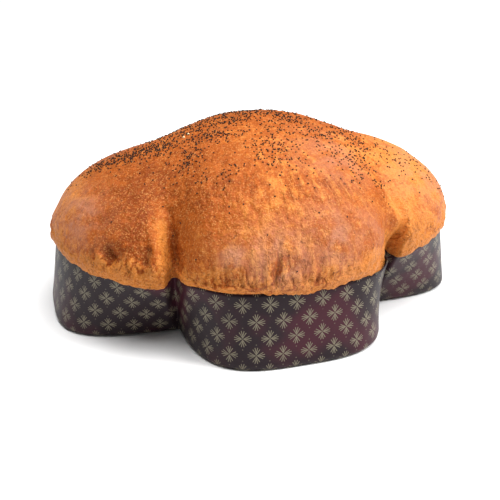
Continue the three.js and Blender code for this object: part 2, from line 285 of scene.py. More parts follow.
def domeReach(lobe, ray):
    power = lobe["shoulder"]
    return reach(
        lambda d: planMeasure(lobe, d * ray[:, 0], d * ray[:, 1]) ** (power / lobe["square"])
        + np.abs(d * ray[:, 2] / lobe["rise"]) ** power < 1,
        len(ray),
    )


def level(azimuth):
    return np.stack([np.cos(azimuth), np.sin(azimuth), np.zeros_like(azimuth)], -1)


def findNotches(lobes, reachOf):  # the azimuths at which each lobe's outline meets the next one's
    named = {lobe["name"]: lobe for lobe in lobes}
    order = ["head", "left wing", "tail", "right wing", "head"]
    found = []
    for first, second in zip(order, order[1:]):
        start, end = named[first], named[second]
        low = math.atan2(start["y"], start["x"])
        high = math.atan2(end["y"], end["x"])
        if high < low:
            high += 2 * math.pi
        for _ in range(halvings):
            middle = (low + high) / 2
            at = np.array([middle])
            if reachOf(start, at)[0] > reachOf(end, at)[0]:
                low = middle
            else:
                high = middle
        found.append(low % (2 * math.pi))
    return found


bellyNotches = findNotches(loaf["lobes"], lambda lobe, at: domeReach(lobe, level(at)))
footNotches = findNotches(case["lobes"], footReach)


def makeCrevices():
    made = []
    for azimuth in bellyNotches:
        ray = level(np.array([azimuth]))
        place = ray[0] * max(domeReach(lobe, ray)[0] for lobe in loaf["lobes"])
        pull = crevice["pullTailSide"] if place[0] < 0 else crevice["pullHeadSide"]
        inward = np.array([pull, -np.sign(place[1]), 0])
        made.append((place, inward / np.linalg.norm(inward)))
    return made


crevices = makeCrevices()


def pulledIn(points, fade):
    moved = points.copy()
    rise = np.maximum(0, points[:, 2] - loaf["bellyHeight"])
    halfWidth = crevice["halfWidth"] + crevice["widening"] * rise
    sink = -crevice["sink"] * smooth(rise, 0, crevice["sinkRise"])
    for place, inward in crevices:
        offset = points - place
        along = offset[:, 0] * inward[0] + offset[:, 1] * inward[1]
        aside = np.abs(offset[:, 0] * inward[1] - offset[:, 1] * inward[0])
        near = 1 - smooth(np.abs(along), *crevice["length"])
        share = (0.5 + 0.5 * np.cos(np.pi * np.minimum(1, aside / halfWidth))) * near * fade
        moved[:, :2] += crevice["depth"] * share[:, None] * inward[:2]
        moved[:, 2] += crevice["depth"] * share * sink
    return moved


def pathDistance(points, path):
    nearest = np.full(len(points), np.inf)
    for start, end in zip(path, path[1:]):
        start, step = np.array(start), np.array(end) - np.array(start)
        share = np.clip((points - start) @ step / (step @ step), 0, 1)
        nearest = np.minimum(nearest, np.linalg.norm(points - start - share[:, None] * step, axis=1))
    return nearest


def noiseAt(places):
    return np.array([noise.noise(place) for place in places.tolist()])


def layeredNoise(places, layers):
    return sum(layer["height"] * noiseAt(places / layer["pitch"]) for layer in layers)


def nearShare(places, spot):  # 1 at a spot, and less away from it
    away = np.linalg.norm(places - np.array(spot["at"]), axis=1) / spot["radius"]
    return np.exp(-away ** 2)


def aroundPlaces(points):  # a place that changes round the loaf, and slowly up its sides
    stretch = relief["stretch"]
    flat = points[:, :2] / np.maximum(1, np.hypot(points[:, 0], points[:, 1]))[:, None]
    return np.column_stack([flat * stretch["radius"] / stretch["pitch"], points[:, 2] / stretch["along"]])


def crustRelief(points):
    x, y, z = points.T
    pitch = relief["swellPitch"]
    along = np.sin(x / pitch + relief["skew"] * np.sin(y / pitch))
    height = relief["swell"] * along * np.sin((y + z) / pitch + relief["lag"])
    for dimple in relief["dimples"]:
        height -= dimple["depth"] * nearShare(points, dimple)
    return height


def cracksAt(points):
    lines = relief["crackLines"]
    field = np.abs(noiseAt(points / lines["pitch"] + lines["shift"]))
    return np.clip(1 - lines["sharpness"] * field, 0, 1) * spotShare(points, relief["cracks"])


def skinRidges(points):  # the dough's skin, rucked up on the crown's front
    skin = relief["skin"]
    ridges = 1 - skin["sharpness"] * np.abs(noiseAt(points / skin["pitch"]))
    return spotShare(points, [skin]) * np.clip(ridges, skin["lowest"], 1)


def fineRelief(points):
    height = layeredNoise(points, relief["unevenness"])
    for furrow in furrows:
        away = pathDistance(points, furrow["path"]) / furrow["width"]
        height -= furrow["depth"] * np.exp(-away ** 2)
    strain = spotShare(points, bakeAndPaintedLight["strained"])
    height += relief["stretch"]["height"] * strain * noiseAt(aroundPlaces(points))
    height += relief["skin"]["height"] * skinRidges(points)
    skirt = smooth(points[:, 2], *bakeAndPaintedLight["skirt"])
    height += relief["lumps"]["height"] * skirt * noiseAt(points / relief["lumps"]["pitch"])
    return height - relief["crackDepth"] * cracksAt(points)


def upRays(azimuth, elevation):
    ray = level(azimuth) * np.cos(elevation)[:, None]
    ray[:, 2] = np.sin(elevation)
    return ray


def risenPoints(azimuth, elevation):  # the loaf before its crevices
    ray = upRays(azimuth, elevation)
    reaches = np.array([domeReach(lobe, ray) for lobe in loaf["lobes"]])
    blend = loaf["blend"]
    raised = smooth(elevation, 0, math.radians(blend["full"]))
    width = blend["belly"] + (blend["crown"] - blend["belly"]) * raised
    furthest = reaches.max(0)
    away = furthest + width * np.log(np.exp((reaches - furthest) / width).sum(0))
    points = ray * away[:, None]
    points[:, 2] += loaf["bellyHeight"]
    return points + ray * crustRelief(points)[:, None]


def domePoints(azimuth, elevation):
    points = risenPoints(azimuth, elevation)
    fade = np.exp(-(((points[:, 2] - loaf["bellyHeight"]) / crevice["fade"]) ** 2))
    points = pulledIn(points, fade)
    return points + upRays(azimuth, elevation) * fineRelief(points)[:, None]


def outward(ring):
    step = np.roll(ring, -1, 0) - np.roll(ring, 1, 0)
    normal = np.stack([step[:, 1], -step[:, 0], np.zeros(len(ring))], -1)
    return normal / np.linalg.norm(normal, axis=1)[:, None]


def pastFullTurn(notches):  # with one more notch at each end
    return [notches[-1] - 2 * np.pi, *notches, notches[0] + 2 * np.pi]


def makeRings(count):  # the belly, the paper's rim and its foot, all the way round
    azimuth = np.arange(count) * 2 * np.pi / count
    footAzimuth = np.interp(azimuth, pastFullTurn(bellyNotches), pastFullTurn(footNotches))
    belly = domePoints(azimuth, np.zeros(count))
    beside = smooth(azimuth, *[math.radians(limit) for limit in loaf["besideHead"]])
    over = loaf["overhang"] + (loaf["overhangBesideHead"] - loaf["overhang"]) * beside
    over = np.where(azimuth < bellyNotches[-1], over, loaf["overhang"])
    risen = risenPoints(azimuth, np.zeros(count))
    normal = outward(risen)
    rim = pulledIn(risen - normal * over[:, None], np.ones(count))
    footAway = np.max([footReach(lobe, footAzimuth) for lobe in case["lobes"]], 0)
    foot = level(footAzimuth) * footAway[:, None]
    lean = case["greatestLean"] * np.tanh(np.hypot(*(rim - foot)[:, :2].T) / case["greatestLean"])
    rim[:, 2] = np.sqrt(case["height"] ** 2 - lean ** 2)
    for lift in case["raisedRim"]:
        rim[:, 2] += lift["height"] * nearShare(rim, lift)
    return {"azimuth": azimuth, "belly": belly, "normal": normal, "over": over, "rim": rim, "foot": foot}


rings = makeRings(case["columns"])


def around(values, azimuth):  # reads a ring's values at any azimuth
    where = np.append(rings["azimuth"], 2 * np.pi)
    values = np.concatenate([values, values[:1]])
    at = azimuth % (2 * np.pi)
    if values.ndim == 1:
        return np.interp(at, where, values)
    return np.stack([np.interp(at, where, column) for column in values.T], -1)


def wallRing(share, inset=0):
    height = share * case["height"]
    radius = case["footRadius"]
    under = radius - math.sqrt(max(0, radius ** 2 - (radius - height) ** 2)) if height < radius else 0
    ring = rings["foot"] + (rings["rim"] - rings["foot"]) * share
    return ring - outward(ring) * (under + inset)


def readPlaces(mesh):
    places = np.zeros(len(mesh.vertices) * 3)
    mesh.vertices.foreach_get("co", places)
    return places.reshape(-1, 3)


def writePlaces(mesh, places):
    mesh.vertices.foreach_set("co", ((places + lobesMeet) * mm).ravel())
    mesh.update()


def makeObject(name, bm, material):
    mesh = bpy.data.meshes.new(name)
    bm.to_mesh(mesh)
    bm.free()
    mesh.materials.append(material)
    made = bpy.data.objects.new(name, mesh)
    bpy.context.scene.collection.objects.link(made)
    return made


def shadeSmooth(made):
    made.data.polygons.foreach_set("use_smooth", [True] * len(made.data.polygons))


def addNode(tree, kind, inputs=None, **settings):
    made = tree.nodes.new(kind)
    for key, value in settings.items():
        setattr(made, key, value)
    for key, value in (inputs or {}).items():
        if isinstance(value, bpy.types.NodeSocket):
            tree.links.new(value, made.inputs[key])
        else:
            made.inputs[key].default_value = value
    return made


def mathNode(tree, operation, *values, clamp=False):
    inputs = dict(enumerate(values))
    return addNode(tree, "ShaderNodeMath", inputs, operation=operation, use_clamp=clamp).outputs[0]


def times(tree, first, second):
    return mathNode(tree, "MULTIPLY", first, second)


def plus(tree, first, second):
    return mathNode(tree, "ADD", first, second)


def joined(tree, operation, values):  # many values, two by two
    result = values[0]
    for value in values[1:]:
        result = mathNode(tree, operation, result, value)
    return result


def vectorNode(tree, operation, first, second, output=0):
    inputs = {0: first, 1: second}
    return addNode(tree, "ShaderNodeVectorMath", inputs, operation=operation).outputs[output]


def mixColour(tree, share, first, second):
    return addNode(tree, "ShaderNodeMix", {0: share, 6: first, 7: second}, data_type="RGBA").outputs[2]


def tinted(tree, colour, mask, share, tint):
    return mixColour(tree, times(tree, mask, share), colour, tint)


def ramp(tree, value, low, high):  # 0 at low, 1 at high
    inputs = {0: value, 1: low, 2: high}
    return addNode(tree, "ShaderNodeMapRange", inputs, interpolation_type="SMOOTHSTEP").outputs[0]


def noiseField(tree, place, look):
    inputs = {"Vector": place, "Scale": look["scale"], "Detail": look.get("detail", 3)}
    inputs["Roughness"] = look.get("roughness", 0.5)
    return addNode(tree, "ShaderNodeTexNoise", inputs).outputs["Fac"]


def patches(tree, place, look):
    return ramp(tree, noiseField(tree, place, look), *look["limits"])


def newMaterial(name, look):
    material = bpy.data.materials.new(name)
    material.use_nodes = True
    tree = material.node_tree
    shader = tree.nodes["Principled BSDF"]
    shader.inputs["Roughness"].default_value = look["roughness"]
    shader.inputs["Specular IOR Level"].default_value = look["gloss"]
    return material, tree, shader


def objectPlace(tree):
    return addNode(tree, "ShaderNodeTexCoord").outputs["Object"]


noiseMiddle = 0.5

crustLook = {
    "golden": (0.375, 0.083, 0.0095, 1),
    "pale": (0.60, 0.195, 0.033, 1),
    "toastedAndShaded": (0.215, 0.040, 0.0035, 1),
    "blister": (0.66, 0.29, 0.085, 1),
    "dark": (0.07, 0.015, 0.003, 1),
    # the colour of the painted sheen
    "paintedSheen": (0.50, 0.222, 0.13, 1),
    "roughness": 0.5,
    "gloss": 0.12,
    "paintedSheenGloss": 0.3,
    "paintedSheenHides": 0.7,          # how much of the light grain goes where the sheen is painted
    "toneNoises": [
        {"scale": 26, "gain": 0.75},
        {"scale": 130, "detail": 4, "roughness": 0.62, "gain": 1.0},
        {"scale": 430, "roughness": 0.6, "gain": 0.8},
    ],
    "paleToGolden": (0.12, 0.5),
    "goldenToToasted": (0.5, 0.95),
    # noises: the limits make patches of them, the share is how strongly those tint the crust,
    # and the height is their relief in millimetres
    "paintedSheenPatches": {"scale": 95, "limits": (0.34, 0.58), "share": 0.65},
    "streaks": {
        "scale": 1.0, "detail": 4, "roughness": 0.6, "limits": (0.54, 0.68), "share": 0.65, "height": 1.3,
    },
    # the wrinkles' share is painted shade in their creases; their height is relief
    "wrinkles": {
        "scale": 0.8, "roughness": 0.55, "squeeze": (1, 1, 1.9), "limits": (0.07, 0.0),
        "share": 0.55, "height": -0.55,
    },
    "wrinklePatches": {"scale": 120, "detail": 1, "limits": (0.4, 0.55)},
    "grain": {"scale": 1000, "detail": 2, "roughness": 0.6, "height": 0.42},
    "lightGrain": {"limits": (0.54, 0.70), "share": 0.5, "skirtShare": 0.15},
    "darkGrain": {"limits": (0.46, 0.30), "share": 0.45},
    "specks": {"scale": 820, "limits": (0.42, 0.12), "share": 0.6, "height": 0.12},
    "speckPatches": {"scale": 240, "detail": 2, "limits": (0.40, 0.60)},
    "pores": {"scale": 420, "limits": (0.36, 0.24), "share": 0.7},
    # painted shade in the gaps between the skirt's lumps
    "skirtGapShade": {"scale": 300, "detail": 4, "roughness": 0.65, "limits": (0.42, 0.30), "share": 0.62},
    "lumps": {"scale": 170, "roughness": 0.55, "height": 1.5},
    "rough": {"scale": 330, "detail": 4, "roughness": 0.6, "height": 1.0, "skirtHeight": 2.4},
}


def makeCrust():
    look = crustLook
    material, tree, shader = newMaterial("crust", look)
    place = objectPlace(tree)
    mark = {
        name: addNode(tree, "ShaderNodeAttribute", attribute_name=name).outputs["Fac"]
        for name in ("baked", "strain", "paintedSheen", "skirt")
    }
    streakPlace = addNode(tree, "ShaderNodeAttribute", attribute_name="streakPlace").outputs["Vector"]

    # how far each spot is baked, with painted shade and painted light added in some places: pale, golden or
    # toasted
    tone = mark["baked"]
    for field in look["toneNoises"]:
        shift = mathNode(tree, "SUBTRACT", noiseField(tree, place, field), noiseMiddle)
        tone = plus(tree, tone, times(tree, shift, field["gain"]))
    colour = mixColour(tree, ramp(tree, tone, *look["paleToGolden"]), look["pale"], look["golden"])
    colour = mixColour(tree, ramp(tree, tone, *look["goldenToToasted"]), colour, look["toastedAndShaded"])

    # painted sheen: dull rosy, paler patches that stand in for the soft reflection on the crust
    paintedSheen = times(tree, mark["paintedSheen"], patches(tree, place, look["paintedSheenPatches"]))
    colour = tinted(tree, colour, paintedSheen, look["paintedSheenPatches"]["share"], look["paintedSheen"])

    # stretch marks and wrinkles where the dough tore as it rose, with painted shade in the wrinkles' creases
    streaks, wrinkles = look["streaks"], look["wrinkles"]
    streak = noiseField(tree, streakPlace, streaks)
    torn = times(tree, ramp(tree, streak, *streaks["limits"]), mark["strain"])
    colour = tinted(tree, colour, torn, streaks["share"], look["blister"])
    squeezed = vectorNode(tree, "MULTIPLY", streakPlace, wrinkles["squeeze"])
    vein = mathNode(tree, "SUBTRACT", noiseField(tree, squeezed, wrinkles), noiseMiddle)
    vein = ramp(tree, mathNode(tree, "ABSOLUTE", vein), *wrinkles["limits"])
    wrinkle = times(tree, times(tree, vein, mark["strain"]), patches(tree, place, look["wrinklePatches"]))
    # painted shade in the wrinkles' creases
    colour = tinted(tree, colour, wrinkle, wrinkles["share"], look["toastedAndShaded"])

    # fine grain, light blisters and dark pores
    plain = mathNode(tree, "SUBTRACT", 1, times(tree, paintedSheen, look["paintedSheenHides"]))
    grain = noiseField(tree, place, look["grain"])
    lightGrain, darkGrain, specks = look["lightGrain"], look["darkGrain"], look["specks"]
    light = times(tree, ramp(tree, grain, *lightGrain["limits"]), plain)
    lightShare = plus(tree, times(tree, mark["skirt"], lightGrain["skirtShare"]), lightGrain["share"])
    colour = tinted(tree, colour, light, lightShare, look["blister"])
    shade = ramp(tree, grain, *darkGrain["limits"])
    colour = tinted(tree, colour, shade, darkGrain["share"], look["toastedAndShaded"])
    cells = addNode(tree, "ShaderNodeTexVoronoi", {"Vector": place, "Scale": specks["scale"]})
    speck = ramp(tree, cells.outputs["Distance"], *specks["limits"])
    speck = times(tree, times(tree, speck, patches(tree, place, look["speckPatches"])), plain)
    colour = tinted(tree, colour, speck, specks["share"], look["blister"])
    pore = times(tree, patches(tree, place, look["pores"]), look["pores"]["share"])
    # painted shade in the gaps between the skirt's lumps
    gap = times(tree, patches(tree, place, look["skirtGapShade"]), mark["skirt"])
    gap = times(tree, gap, look["skirtGapShade"]["share"])
    colour = mixColour(tree, mathNode(tree, "MAXIMUM", pore, gap), colour, look["dark"])

    rough = plus(tree, times(tree, mark["skirt"], look["rough"]["skirtHeight"]), look["rough"]["height"])
    height = joined(tree, "ADD", [
        times(tree, grain, look["grain"]["height"]),
        times(tree, speck, specks["height"]),
        times(tree, noiseField(tree, place, look["lumps"]), look["lumps"]["height"]),
        times(tree, noiseField(tree, place, look["rough"]), rough),
        times(tree, wrinkle, wrinkles["height"]),
        times(tree, times(tree, streak, mark["strain"]), streaks["height"]),
    ])
    bump = addNode(tree, "ShaderNodeBump", {"Strength": 1, "Distance": mm, "Height": height})
    # more gloss where the sheen is painted
    gloss = plus(tree, times(tree, mark["paintedSheen"], look["paintedSheenGloss"]), look["gloss"])
    tree.links.new(gloss, shader.inputs["Specular IOR Level"])
    tree.links.new(colour, shader.inputs["Base Color"])
    tree.links.new(bump.outputs[0], shader.inputs["Normal"])
    return material


crustMaterial = makeCrust()


def markCrust(mesh, places):
    # the baked tone, with painted shade and painted light in some zones
    tone = bakeAndPaintedLight["even"] + sum(zone["tone"] * spotShare(places, [zone]) for zone in bakeAndPaintedLight["zones"])
    wander = layeredNoise(places, bakeAndPaintedLight["skirtWander"])
    skirt = smooth(places[:, 2] + wander, *bakeAndPaintedLight["skirt"])
    # the cracks get painted shade
    tone += bakeAndPaintedLight["skirtPale"] * skirt + bakeAndPaintedLight["paintedCrackShade"] * cracksAt(places)
    strain = spotShare(places, bakeAndPaintedLight["strained"])
    tone -= bakeAndPaintedLight["streakTone"] * strain * noiseAt(aroundPlaces(places))
    tone -= relief["skin"]["paleness"] * skinRidges(places)
    strain = bakeAndPaintedLight["leastStrain"] + (1 - bakeAndPaintedLight["leastStrain"]) * strain
    # where sheen is painted into the crust's colour
    paintedSheen = spotShare(places, bakeAndPaintedLight["paintedSheen"])
    for name, values in (("baked", tone), ("strain", strain), ("paintedSheen", paintedSheen), ("skirt", skirt)):
        layer = mesh.attributes.new(name, "FLOAT", "POINT")
        layer.data.foreach_set("value", values)
    layer = mesh.attributes.new("streakPlace", "FLOAT_VECTOR", "POINT")
    layer.data.foreach_set("vector", aroundPlaces(places).ravel())


def lipPlaces(turn, down):  # round the lip, in over the paper's rim and down inside the case
    belly, rim = around(rings["belly"], turn), around(rings["rim"], turn)
    normal, over = around(rings["normal"], turn), around(rings["over"], turn)
    clear = case["thickness"] + loaf["gap"]
    ragged = layeredNoise(rim, loaf["raggedLip"])
    bulging = loaf["lipBulge"]
    bulge = bulging["height"] * noiseAt(rim / bulging["pitch"] + bulging["shift"])
    droop = loaf["lipDroop"] + sum(spot["more"] * nearShare(rim, spot) for spot in loaf["droopPlaces"])
    lowest = rim[:, 2] - droop + ragged
    wallSide = around(wallRing(loaf["leanFrom"]), turn)
    lean = ((rim - wallSide) * normal).sum(1) / (rim[:, 2] - wallSide[:, 2])

    def besideRim(out, height):  # out from the paper, at a height
        beside = rim + normal * (out + lean * np.minimum(0, height - rim[:, 2]))[:, None]
        beside[:, 2] = height
        return beside

    stations = [(0, belly)]
    drop = belly[:, 2] - lowest
    for step in loaf["lip"]:
        out = over * step["over"] + step["more"] + bulge * step["bulge"]
        stations.append((step["along"], besideRim(out, belly[:, 2] - drop * step["drop"])))
    back, off = loaf["lipBack"], loaf["offPaper"]
    stations += [
        (back["lowest"], besideRim(over * back["lowestOver"] + off, lowest)),
        (back["turn"], besideRim(off, lowest + back["turnRise"])),
        (back["overRim"], besideRim(off, rim[:, 2] + back["aboveRim"])),
        (back["inside"], besideRim(-clear, rim[:, 2] + loaf["gap"])),
    ]
    inner = loaf["insideRings"]
    steps = np.linspace(back["inside"], 1, inner["count"] + 1)[1:]
    for step, height in zip(steps, np.linspace(inner["top"], 0, inner["count"])):
        ring = around(wallRing(height, clear), turn)
        ring[:, 2] = np.maximum(ring[:, 2], clear)
        stations.append((step, ring))

    places = np.zeros_like(belly)
    for (start, first), (end, second) in zip(stations, stations[1:]):
        between = (down >= start) & (down <= end)
        part = ((down[between] - start) / (end - start))[:, None]
        places[between] = first[between] * (1 - part) + second[between] * part
    return places


def makeLoaf():
    cells = loaf["cells"]
    bm = bmesh.new()
    bmesh.ops.create_grid(bm, x_segments=cells, y_segments=cells, size=1)
    made = makeObject("loafSurface", bm, crustMaterial)
    flat = readPlaces(made.data)
    u, v = flat[:, 0], flat[:, 1]
    fromMiddle = np.maximum(np.abs(u), np.abs(v))
    wide = np.abs(u) >= np.abs(v)
    eighth = np.pi / 4
    azimuth = np.where(
        wide,
        eighth * v / np.where(u == 0, 1, u) + np.where(u < 0, np.pi, 0),
        2 * eighth - eighth * u / np.where(v == 0, 1, v) + np.where(v < 0, np.pi, 0),
    )
    share = loaf["domeShare"]
    elevation = np.clip(1 - fromMiddle / share, 0, 1) * np.pi / 2
    places = domePoints(azimuth, elevation)
    low = fromMiddle > share
    places[low] = lipPlaces(azimuth[low], (fromMiddle[low] - share) / (1 - share))
    tuck = loaf["tuck"]
    shift = tuck["depth"] * nearShare(places, tuck) * smooth(places[:, 2], *tuck["rise"])
    places -= around(rings["normal"], azimuth) * shift[:, None]
    markCrust(made.data, places)
    writePlaces(made.data, places)

    bm = bmesh.new()
    bm.from_mesh(made.data)
    bmesh.ops.holes_fill(bm, edges=[edge for edge in bm.edges if edge.is_boundary])
    bmesh.ops.recalc_face_normals(bm, faces=bm.faces)
    bm.to_mesh(made.data)
    bm.free()
    shadeSmooth(made)
    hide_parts("bread")
    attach(made, "root")
    print("loaf:", len(made.data.polygons), "faces")
    return made


loafSurface = makeLoaf()

paperLook = {
    "ground": (0.016, 0.008, 0.011, 1),
    "burgundy": (0.060, 0.010, 0.019, 1),
    "flower": (0.175, 0.152, 0.105, 1),
    "roughness": 0.45,
    "gloss": 0.17,
    # the print, in millimetres across and up the sheet
    "period": (14.7, 19.3),
    "start": (11.5, 19.2),      # one flower's middle
    "rays": [((0.5, 0), (2.0, 0)), ((1.7, 0.05), (4.5, 0.72)), ((1.0, 0.25), (3.55, 1.8))],
    "rayWidth": 0.22,
    "rayEdge": 0.1,
    "dotUp": 6.3,
    "dotRadius": 0.34,
    "dotEdge": 0.15,
    "dotShare": 0.6,
    "tint": {"scale": 30, "detail": 2, "limits": (0.45, 0.65), "share": 0.7},
    "wear": {"scale": 160, "limits": (0.1, 0.5)},
    "fibres": {"scale": 700, "detail": 2, "height": 0.06},
    "dents": {"scale": 60, "detail": 2},
    "bumpStrength": 0.5,
    "bumpHeight": 1.2,
}


def rayDistance(tree, place, start, end):  # from a place to a straight ray
    step = Vector((*end, 0)) - Vector((*start, 0))
    offset = vectorNode(tree, "SUBTRACT", place, (*start, 0))
    share = vectorNode(tree, "DOT_PRODUCT", offset, step / step.length_squared, "Value")
    share = mathNode(tree, "MULTIPLY", share, 1, clamp=True)
    scaled = {0: step, "Scale": share}
    along = addNode(tree, "ShaderNodeVectorMath", scaled, operation="SCALE").outputs[0]
    return vectorNode(tree, "DISTANCE", offset, along, "Value")


def offMiddle(tree, value, middle, period):  # how far from the nearest of a row of middles
    shifted = mathNode(tree, "SUBTRACT", value, middle)
    return mathNode(tree, "ABSOLUTE", mathNode(tree, "WRAP", shifted, period / 2, -period / 2))


def flowerMarks(tree, across, up, half):  # one square set of flowers and of dots
    look = paperLook
    (acrossPeriod, upPeriod), (acrossStart, upStart) = look["period"], look["start"]
    x = offMiddle(tree, across, acrossStart + half * acrossPeriod, acrossPeriod)
    y = offMiddle(tree, up, upStart + half * upPeriod, upPeriod)
    wide, narrow = mathNode(tree, "MAXIMUM", x, y), mathNode(tree, "MINIMUM", x, y)
    folded = addNode(tree, "ShaderNodeCombineXYZ", {0: wide, 1: narrow}).outputs[0]
    nearest = joined(tree, "MINIMUM", [rayDistance(tree, folded, start, end) for start, end in look["rays"]])
    flower = ramp(tree, nearest, look["rayWidth"] + look["rayEdge"], look["rayWidth"] - look["rayEdge"])
    dotPlace = addNode(tree, "ShaderNodeCombineXYZ", {0: x, 1: y}).outputs[0]
    dot = vectorNode(tree, "DISTANCE", dotPlace, (0, look["dotUp"], 0), "Value")
    dot = ramp(tree, dot, look["dotRadius"] + look["dotEdge"], look["dotRadius"] - look["dotEdge"])
    return [flower, times(tree, dot, look["dotShare"])]


def makePaper():
    look = paperLook
    material, tree, shader = newMaterial("printedPaper", look)
    sheet = addNode(tree, "ShaderNodeUVMap", uv_map="print").outputs["UV"]
    parts = addNode(tree, "ShaderNodeSeparateXYZ", {0: sheet})
    across, up = [times(tree, parts.outputs[number], 1 / mm) for number in (0, 1)]
    # the second set stands half a period further on, both ways
    printed = joined(tree, "MAXIMUM", flowerMarks(tree, across, up, 0) + flowerMarks(tree, across, up, 0.5))

    place = objectPlace(tree)
    tint = patches(tree, place, look["tint"])
    ground = tinted(tree, look["ground"], tint, look["tint"]["share"], look["burgundy"])
    worn = times(tree, printed, patches(tree, place, look["wear"]))
    colour = mixColour(tree, worn, ground, look["flower"])
    fibres = times(tree, noiseField(tree, place, look["fibres"]), look["fibres"]["height"])
    height = plus(tree, fibres, noiseField(tree, place, look["dents"]))
    bumped = {"Strength": look["bumpStrength"], "Distance": look["bumpHeight"] * mm, "Height": height}
    bump = addNode(tree, "ShaderNodeBump", bumped)
    tree.links.new(colour, shader.inputs["Base Color"])
    tree.links.new(bump.outputs[0], shader.inputs["Normal"])
    return material


paperMaterial = makePaper()


def alongRing(ring):  # the way round to each of a ring's places
    steps = np.diff(np.concatenate([ring, ring[:1]]), axis=0)
    return np.concatenate([[0], np.cumsum(np.linalg.norm(steps, axis=1))])


def makeCase():
    columns, rows = case["columns"], case["rows"]
    bm = bmesh.new()
    bmesh.ops.create_grid(bm, x_segments=columns, y_segments=rows, size=1)
    made = makeObject("caseSheet", bm, paperMaterial)
    flat = readPlaces(made.data)
    azimuth = (flat[:, 0] + 1) * np.pi
    row = np.round((flat[:, 1] + 1) / 2, 6)
    heights = row ** case["rowSpread"]
    places, u = np.zeros_like(flat), np.zeros(len(flat))
    ringAzimuth = np.arange(columns + 1) * 2 * np.pi / columns
    lobeMiddle = np.searchsorted(bellyNotches, azimuth) * np.pi / 2
    halfway = alongRing(wallRing(0.5))
    halfway[-1] = 0             # so that the print runs on round the head's tip
    for share in np.unique(heights):
        chosen = heights == share
        ring = wallRing(share)
        places[chosen] = around(ring, azimuth[chosen])
        along, middle = alongRing(ring), lobeMiddle[chosen]
        u[chosen] = np.interp(azimuth[chosen], ringAzimuth, along) - np.interp(middle, ringAzimuth, along)
        u[chosen] += np.interp(middle, ringAzimuth, halfway)
    writePlaces(made.data, places)
    sheet = np.stack([u, heights * case["height"]], -1) * mm
    vertexOf = np.zeros(len(made.data.loops), dtype=np.int32)
    made.data.loops.foreach_get("vertex_index", vertexOf)
    made.data.uv_layers.new(name="print").data.foreach_set("uv", sheet[vertexOf].ravel())

    bm = bmesh.new()
    bm.from_mesh(made.data)
    bmesh.ops.remove_doubles(bm, verts=bm.verts, dist=mergeWithin)
    halfUp = case["height"] * mm / 2
    bottom = [edge for edge in bm.edges if edge.is_boundary and edge.verts[0].co.z < halfUp]
    layer = bm.loops.layers.uv["print"]
    for face in bmesh.ops.holes_fill(bm, edges=bottom)["faces"]:
        for corner in face.loops:
            corner[layer].uv = corner.vert.co.xy
    bmesh.ops.recalc_face_normals(bm, faces=bm.faces)
    bm.to_mesh(made.data)
    bm.free()
    shadeSmooth(made)
    wall = made.modifiers.new("wall", "SOLIDIFY")
    wall.thickness = case["thickness"] * mm
    wall.offset = -1            # the sheet is the case's outside
    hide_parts("paper_case")
    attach(made, "root")
    print("case:", len(made.data.polygons), "faces")


makeCase()

seeds = {
    "size": (1.08, 0.86, 0.70),
    "sunk": 0.22,
    "colour": (0.016, 0.010, 0.008, 1),
    "brown": (0.060, 0.026, 0.012, 1),
    "roughness": 0.65,
    "gloss": 0.2,
    "paleColour": (0.75, 0.62, 0.38, 1),
    "paleScale": 1.5,           # the pale ones are larger
    "shades": {"scale": 420, "detail": 1, "limits": (0.5, 0.72)},
    "segments": (7, 5),
    "sizes": (0.85, 1.12),      # the smallest and the largest, as shares of the size
    "apart": 0.95,              # a square of this side holds one seed
    "lowest": 54,               # above the table
    "start": 11,                # of the random draws
    "patches": [  # middle, spread along and across, turn and how many
        {"at": (-68, 1), "spread": (17, 3.6), "turn": -19, "count": 300},
        {"at": (-84, 10), "spread": (9, 5), "turn": -25, "count": 60},
        {"at": (-60, -9), "spread": (10, 4), "turn": -10, "count": 90},
        {"at": (-40, -27), "spread": (4, 5), "turn": 0, "count": 55},
        {"at": (-44, -35), "spread": (4, 3), "turn": 0, "count": 28},
        {"at": (-40, -53), "spread": (5, 3), "turn": 0, "count": 16},
        {"at": (-52, -36), "spread": (10, 9), "turn": 0, "count": 20},
        {"at": (-25, -19), "spread": (8, 4), "turn": -20, "count": 90},
        {"at": (-25, -58), "spread": (5, 4), "turn": 0, "count": 22},
        {"at": (-28, 0), "spread": (22, 5), "turn": -14, "count": 150},
        {"at": (-8, 2), "spread": (18, 7), "turn": -14, "count": 160},
        {"at": (21, -7), "spread": (5, 4), "turn": 0, "count": 60},
        {"at": (4, 8), "spread": (44, 8), "turn": -12, "count": 200},
        {"at": (3, -46), "spread": (9, 9), "turn": 0, "count": 150},
        {"at": (0, -22), "spread": (20, 9), "turn": -10, "count": 60},
        {"at": (36, -24), "spread": (13, 8), "turn": -20, "count": 120},
        {"at": (43, -44), "spread": (8, 7), "turn": 0, "count": 60},
        {"at": (56, -18), "spread": (8, 8), "turn": 0, "count": 90},
        {"at": (60, -38), "spread": (5, 8), "turn": 0, "count": 34},
        {"at": (50, -58), "spread": (9, 4), "turn": 20, "count": 26},
        {"at": (86, -24), "spread": (12, 8), "turn": 10, "count": 70},
        {"at": (105, -30), "spread": (5, 5), "turn": 0, "count": 8},
        {"at": (0, -74), "spread": (26, 8), "turn": 0, "count": 24},
        {"at": (-10, 34), "spread": (42, 16), "turn": 0, "count": 260},
        {"at": (50, 30), "spread": (20, 14), "turn": 0, "count": 70},
    ],
    "single": [(-54, -63), (-89, -46), (-104, 6), (-50, -84), (0.4, -100)],
    "pale": [(-40.7, -5.4), (-37.7, -3.6)],
}


def makeSeedMaterial(name, plain, varied):
    material, tree, shader = newMaterial(name, seeds)
    shade = patches(tree, objectPlace(tree), seeds["shades"])
    tree.links.new(mixColour(tree, shade, plain, varied), shader.inputs["Base Color"])
    return material


